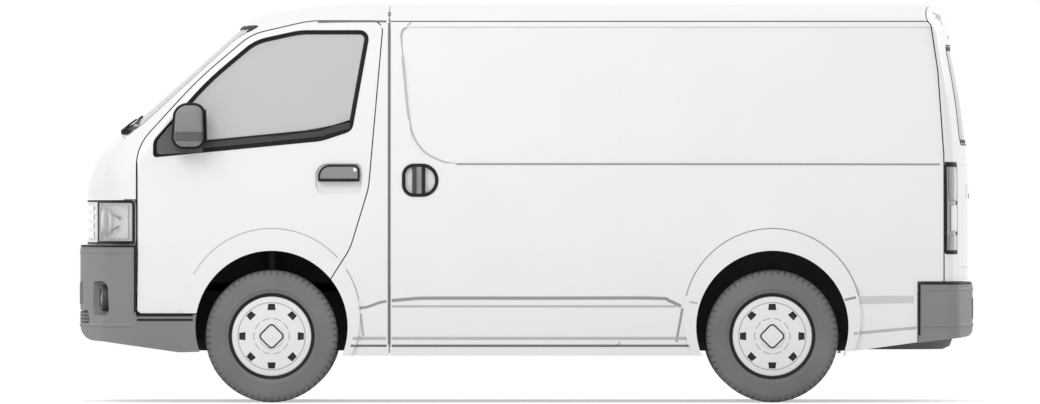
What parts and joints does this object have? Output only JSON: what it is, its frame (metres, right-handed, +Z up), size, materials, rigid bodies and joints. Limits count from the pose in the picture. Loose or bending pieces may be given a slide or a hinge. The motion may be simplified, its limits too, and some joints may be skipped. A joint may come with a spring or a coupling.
{
  "type": "panel van",
  "caption": "Short-nosed panel van with cab over the front wheels, hinged front doors, closed sliding side doors, a top-hinged tailgate and a hollow load space.",
  "frame": {"origin": "middle of the bounding box at ground level", "axes": "+X to the rear, +Y to the van's right side, +Z up"},
  "size_m": [4.619, 2, 2.0549],
  "materials": {
    "paint": "gloss",
    "bumper_plastic": "grained",
    "window_glass": "polished",
    "lamp_clear": "polished",
    "lamp_rear": "gloss",
    "tyre": "matt",
    "wheel": "satin",
    "chassis": "matt black",
    "liner": "matt",
    "cab_plastic": "grained",
    "seat_cloth": "woven",
    "steel": "plain"
  },
  "bodies": {
    "body": {"cab_frame": "paint", "cab_roof": "paint", "side_frame_left": "paint", "side_frame_right": "paint", "roof": "paint", "side_panel_left": "paint", "side_panel_right": "paint", "sliding_door_left": "paint", "sliding_door_right": "paint", "rear_frame": "paint", "windscreen": "window_glass", "front_bumper": "bumper_plastic", "rear_bumper": "bumper_plastic", "grille": "bumper_plastic", "headlamps": "lamp_clear", "tail_lamps": "lamp_rear", "dashboard": "cab_plastic", "seats": "seat_cloth", "bulkhead": "paint", "floor_pan": "paint", "chassis_rails": "chassis", "powertrain": "chassis", "exhaust": "steel", "fuel_tank": "chassis", "spare_wheel": "tyre", "front_suspension": "chassis", "rear_axle": "chassis", "wheelhouses": "liner"},
    "door_left": {"door_left": "paint", "door_glass_left": "window_glass", "door_trim_left": "bumper_plastic"},
    "door_right": {"door_right": "paint", "door_glass_right": "window_glass", "door_trim_right": "bumper_plastic"},
    "tailgate": {"tailgate": "paint", "tailgate_glass": "window_glass"},
    "bonnet": {"bonnet": "paint"},
    "knuckle_left": {"knuckle_left": "chassis"},
    "knuckle_right": {"knuckle_right": "chassis"},
    "steering_wheel": {"steering_wheel": "cab_plastic"},
    "wheel_front_left": {"tyre_front_left": "tyre", "rim_front_left": "wheel"},
    "wheel_front_right": {"tyre_front_right": "tyre", "rim_front_right": "wheel"},
    "wheel_rear_left": {"tyre_rear_left": "tyre", "rim_rear_left": "wheel"},
    "wheel_rear_right": {"tyre_rear_right": "tyre", "rim_rear_right": "wheel"}
  },
  "joints": [
    {"name": "door_left", "type": "hinge", "parent": "body", "child": "door_left", "pos_m": [-1.8885, -0.81, 0.86], "axis": [0, 0, -1], "range_deg": [0, 65]},
    {"name": "door_right", "type": "hinge", "parent": "body", "child": "door_right", "pos_m": [-1.8885, 0.81, 0.86], "axis": [0, 0, 1], "range_deg": [0, 65]},
    {"name": "tailgate", "type": "hinge", "parent": "body", "child": "tailgate", "pos_m": [2.1255, 0, 1.992], "axis": [0, -1, 0], "range_deg": [0, 80]},
    {"name": "bonnet", "type": "hinge", "parent": "body", "child": "bonnet", "pos_m": [-2.1095, 0, 1.313], "axis": [0, 1, 0], "range_deg": [0, 50]},
    {"name": "steer_left", "type": "hinge", "parent": "body", "child": "knuckle_left", "pos_m": [-1.3085, -0.68, 0.34], "axis": [0, 0, 1], "range_deg": [-33, 33]},
    {"name": "steer_right", "type": "hinge", "parent": "body", "child": "knuckle_right", "pos_m": [-1.3085, 0.68, 0.34], "axis": [0, 0, 1], "range_deg": [-33, 33]},
    {"name": "steering_wheel", "type": "hinge", "parent": "body", "child": "steering_wheel", "pos_m": [-1.6535, -0.37, 1.225], "axis": [0.6428, 0, 0.766], "range_deg": [-500, 500]},
    {"name": "wheel_front_left", "type": "hinge", "parent": "knuckle_left", "child": "wheel_front_left", "pos_m": [-1.3085, -0.72, 0.34], "axis": [0, 1, 0], "continuous": true},
    {"name": "wheel_front_right", "type": "hinge", "parent": "knuckle_right", "child": "wheel_front_right", "pos_m": [-1.3085, 0.72, 0.34], "axis": [0, 1, 0], "continuous": true},
    {"name": "wheel_rear_left", "type": "hinge", "parent": "body", "child": "wheel_rear_left", "pos_m": [1.2615, -0.72, 0.34], "axis": [0, 1, 0], "continuous": true},
    {"name": "wheel_rear_right", "type": "hinge", "parent": "body", "child": "wheel_rear_right", "pos_m": [1.2615, 0.72, 0.34], "axis": [0, 1, 0], "continuous": true}
  ],
  "couplings": [
    {"joint": "steer_right", "follows": "steer_left", "ratio": 1},
    {"joint": "steering_wheel", "follows": "steer_left", "ratio": 15}
  ]
}
